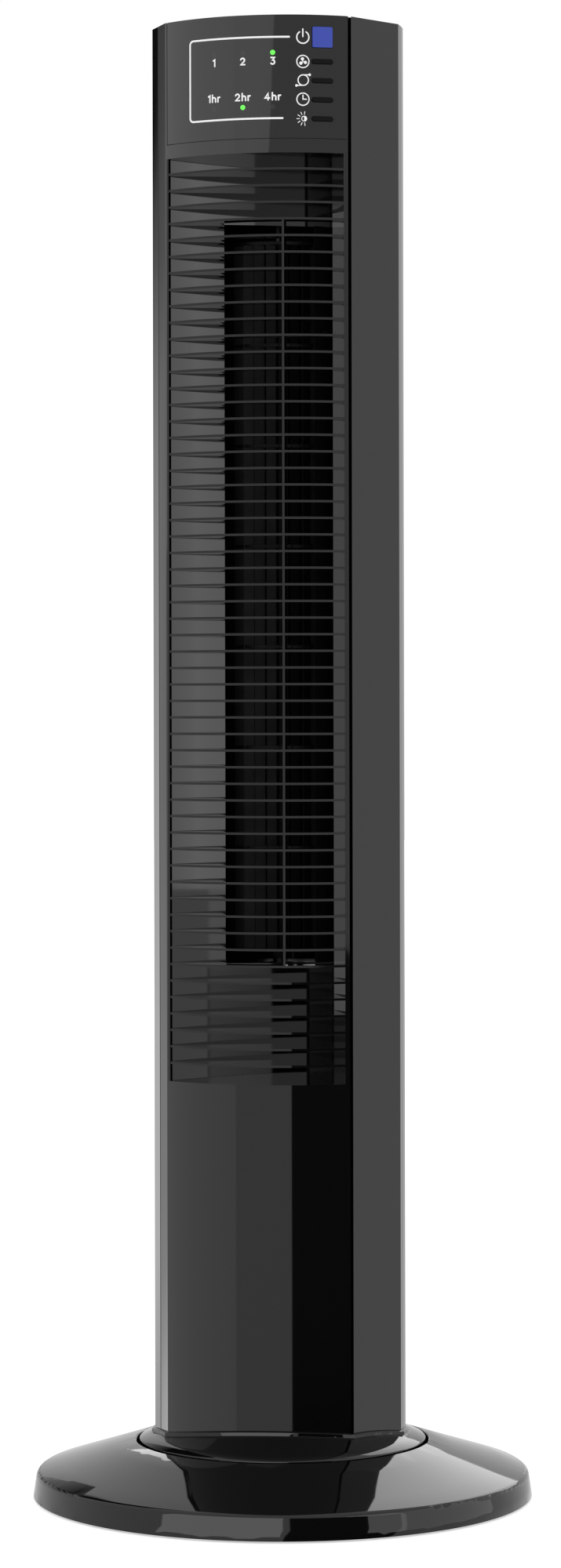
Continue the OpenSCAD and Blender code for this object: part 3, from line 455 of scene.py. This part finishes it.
def group(*nodes):
    """A collection of CAD nodes that a lamp is meant for."""
    members = bpy.data.collections.new("lit_" + nodes[0])
    for name in nodes:
        members.objects.link(NODES[name])
    return members


FACE = group("front_fascia", "control_panel", "top_cap", "unlit_led_lenses")
TRAY = group("outlet_tray")
REAR = group("rear_shell", "rear_grille")
BASE = group("base_cover", "turntable")
INK_SEEN = bpy.data.collections.new("lit_ink")
for piece in PRINTED:
    INK_SEEN.objects.link(piece)


def lamp(name, members, turn, span, low, high, radiance, stops=None, slant=0.0, reach=3.0, look=(0, 0)):
    """A soft panel at a turn round the fan in degrees (0 is in front, 90 on +X), span degrees wide.

    It stands reach metres from the upright line through look, between the heights low and high, and lights
    the members only. stops grade the radiance across the panel; slant makes the grading lean with height.
    """
    data = bpy.data.lights.new(name, "AREA")
    data.shape = "RECTANGLE"
    data.size = 2 * reach * math.tan(math.radians(span / 2))
    data.size_y = high - low
    data.energy = math.pi * data.size * data.size_y * radiance
    obj = bpy.data.objects.new(name, data)
    scene.collection.objects.link(obj)
    obj.matrix_world = (
        Matrix.Translation((look[0], look[1], (low + high) / 2))
        @ Matrix.Rotation(math.radians(turn), 4, "Z")
        @ Matrix.Translation((0, -reach, 0))
        @ UPRIGHT
    )
    obj.visible_camera = False
    obj.visible_diffuse = members is INK_SEEN
    obj.light_linking.receiver_collection = members
    if stops:
        data.use_nodes = True
        tree = data.node_tree
        emission = next(n for n in tree.nodes if n.type == "EMISSION")
        place = tree.nodes.new("ShaderNodeNewGeometry")
        axes = tree.nodes.new("ShaderNodeSeparateXYZ")
        lean = tree.nodes.new("ShaderNodeMath")
        lean.operation = "MULTIPLY_ADD"
        lean.inputs[1].default_value = slant
        ramp = tree.nodes.new("ShaderNodeValToRGB")
        tree.links.new(place.outputs["Parametric"], axes.inputs[0])
        tree.links.new(axes.outputs["Y"], lean.inputs[0])
        tree.links.new(axes.outputs["X"], lean.inputs[2])
        tree.links.new(lean.outputs[0], ramp.inputs["Fac"])
        tree.links.new(ramp.outputs["Color"], emission.inputs["Strength"])
        elements = ramp.color_ramp.elements
        while len(elements) < len(stops):
            elements.new(0.5)
        for element, (where, value) in zip(elements, sorted(stops)):
            element.position = where
            element.color = (value, value, value, 1)
    return obj


def flag(name, turn, reach, left, right, low, high, fade=0.0):
    """A black card that only reflections see; over its lowest fade metres it grows from the world's grey."""
    mesh = bpy.data.meshes.new(name)
    mesh.from_pydata([(left, 0, low), (right, 0, low), (right, 0, high), (left, 0, high)], [], [(0, 1, 2, 3)])
    obj = bpy.data.objects.new(name, mesh)
    scene.collection.objects.link(obj)
    obj.matrix_world = Matrix.Rotation(math.radians(turn), 4, "Z") @ Matrix.Translation((0, -reach, 0))
    finish = bpy.data.materials.new(name)
    finish.use_nodes = True
    shader = finish.node_tree.nodes["Principled BSDF"]
    shader.inputs["Base Color"].default_value = (0.002, 0.002, 0.002, 1)
    shader.inputs["Roughness"].default_value = 1
    shader.inputs["Specular IOR Level"].default_value = 0
    if fade:
        nodes, links = finish.node_tree.nodes, finish.node_tree.links
        place = nodes.new("ShaderNodeNewGeometry")
        axes = nodes.new("ShaderNodeSeparateXYZ")
        blend = nodes.new("ShaderNodeMapRange")
        set_range(blend, low, low + fade, WORLD_LEVEL, 0)
        shader.inputs["Emission Color"].default_value = (1, 1, 1, 1)
        links.new(place.outputs["Position"], axes.inputs[0])
        links.new(axes.outputs["Z"], blend.inputs["Value"])
        links.new(blend.outputs["Result"], shader.inputs["Emission Strength"])
    mesh.materials.append(finish)
    obj.visible_camera = False
    obj.visible_shadow = False
    obj.visible_diffuse = False
    return obj


world = bpy.data.worlds.new("studio")
world.use_nodes = True
tree = world.node_tree
background = tree.nodes["Background"]
seen = tree.nodes.new("ShaderNodeLightPath")
direction = tree.nodes.new("ShaderNodeTexCoord")
axes = tree.nodes.new("ShaderNodeSeparateXYZ")
below = tree.nodes.new("ShaderNodeMapRange")
set_range(below, *GROUND_FADE, GROUND_LEVEL, WORLD_LEVEL)
level = tree.nodes.new("ShaderNodeMix")
level.inputs["B"].default_value = 1.0
tree.links.new(direction.outputs["Generated"], axes.inputs[0])
tree.links.new(axes.outputs["Z"], below.inputs["Value"])
tree.links.new(below.outputs["Result"], level.inputs["A"])
tree.links.new(seen.outputs["Is Camera Ray"], level.inputs["Factor"])
tree.links.new(level.outputs["Result"], background.inputs["Strength"])
background.inputs["Color"].default_value = (1, 1, 1, 1)
scene.world = world

# Places round which a lamp turns: the recess, its right wall, and the two beads of the left edge
RECESS = (0, -0.02)
RECESS_WALL = (0.0405, -0.0165)
FRONT_BEAD = (-0.068, -0.032)
REAR_BEAD = (-0.072, -0.025)
LEFT_EDGE = -133

# Height where the upper panel of the front changes to the lower one in reflections
FACE_SPLIT = 0.7
TRAY_SPLIT = 0.36

# The front: two panels for its upper part, one for the lower part, and one for its left edge
lamp("face_top_left", FACE, -65, 75, FACE_SPLIT, 2.2, 1.1, [(0, 1), (1, 0.75)])
lamp("face_top_mid", FACE, -8, 39, FACE_SPLIT, 2.2, 0.75, [(0, 1), (0.36, 0.9), (0.37, 0), (1, 0)], slant=-0.8)
lamp("face_low_left", FACE, -65, 75, -1.6, FACE_SPLIT, 0.45, [(0, 1), (1, 0.5)])
FACE_EDGE_STOPS = [
    (0, 0.16), (0.08, 0.4), (0.19, 0.08), (0.25, 0), (0.33, 0.12),
    (0.345, 0.4), (0.3625, 0.72), (0.39, 1), (0.5, 1),
]
lamp("face_edge", FACE, LEFT_EDGE, 20, -0.5, 1.1, 1.25, FACE_EDGE_STOPS, slant=-0.5, reach=1.1, look=FRONT_BEAD)

# The recess: its ramp above and below the split, and its right wall
TRAY_GLOW_STOPS = [(0, 0.6), (0.25, 1), (0.86, 0.6), (0.87, 0)]
TRAY_LOW_STOPS = [(0, 0.3), (0.37, 0.4), (0.40, 1), (0.96, 0.65), (0.97, 0)]
lamp("tray_glow", TRAY, 17, 30, TRAY_SPLIT, 1.3, 1.8, TRAY_GLOW_STOPS, reach=0.42, look=RECESS)
lamp("tray_low", TRAY, 17, 34, 0, TRAY_SPLIT, 0.85, TRAY_LOW_STOPS, reach=0.42, look=RECESS)
lamp("tray_wall", TRAY, -90, 118, 0.3, 0.8, 0.17, reach=0.008, look=RECESS_WALL)

# The rear shell: the right flank and the strip of the left edge
FLANK_STOPS = [(0, 0), (0.04, 0.25), (0.10, 0.66), (0.22, 0.88), (0.36, 1), (0.42, 0.4), (0.5, 0.4)]
lamp("flank_right", REAR, 100, 30, -1.0, 2.5, 0.28)
lamp("flank_left", REAR, LEFT_EDGE, 20, -0.3, 1.1, 1.2, FLANK_STOPS, slant=-0.5, reach=1.1, look=REAR_BEAD)

# The base: its dome on the right, and its rim on both sides
lamp("base_right", BASE, 172, 60, 0.5, 1.9, 1.55, reach=1.5)
lamp("rim_left", BASE, -15, 50, -0.05, 0.45, 1.4, reach=0.6)
RIM_STOPS = [(0, 1), (0.33, 1), (0.34, 0.38), (1, 0.45)]
lamp("rim_right", BASE, 75, 74, -0.05, 0.45, 1.3, RIM_STOPS, reach=0.6)

# Dark cards: one for the right of the lower front, one for the upper left edge
flag("flag_front", 0, 0.49, 0.1105, 0.9, -0.3, 0.30)
flag("flag_back_left", -131, 1.2, -0.36, 0.36, 0.2, 1.9, fade=0.7)

# The only lamp that the ink sees
lamp("ink_key", INK_SEEN, 0, 40, 0.6, 1.4, 0.5, reach=1.5)

FLOOR_RADIUS, FLOOR_SIDES, FLOOR_GLOW = 12, 96, 0.55
floor_mesh = bpy.data.meshes.new("floor")
edge = [(FLOOR_RADIUS * math.cos(a), FLOOR_RADIUS * math.sin(a), 0) for a in turns(FLOOR_SIDES)]
floor_mesh.from_pydata(edge, [], [list(range(FLOOR_SIDES))])
floor = bpy.data.objects.new("floor", floor_mesh)
scene.collection.objects.link(floor)
g = Graph("floor_white", (0.9, 0.9, 0.9), 0.6, Emission_Strength=FLOOR_GLOW)
g.put("Emission Color", (1, 1, 1, 1))
g.drive("Roughness", g.grade(g.noise(3, 2), 0.55, 0.7))
floor_mesh.materials.append(g.material)
floor.visible_glossy = False
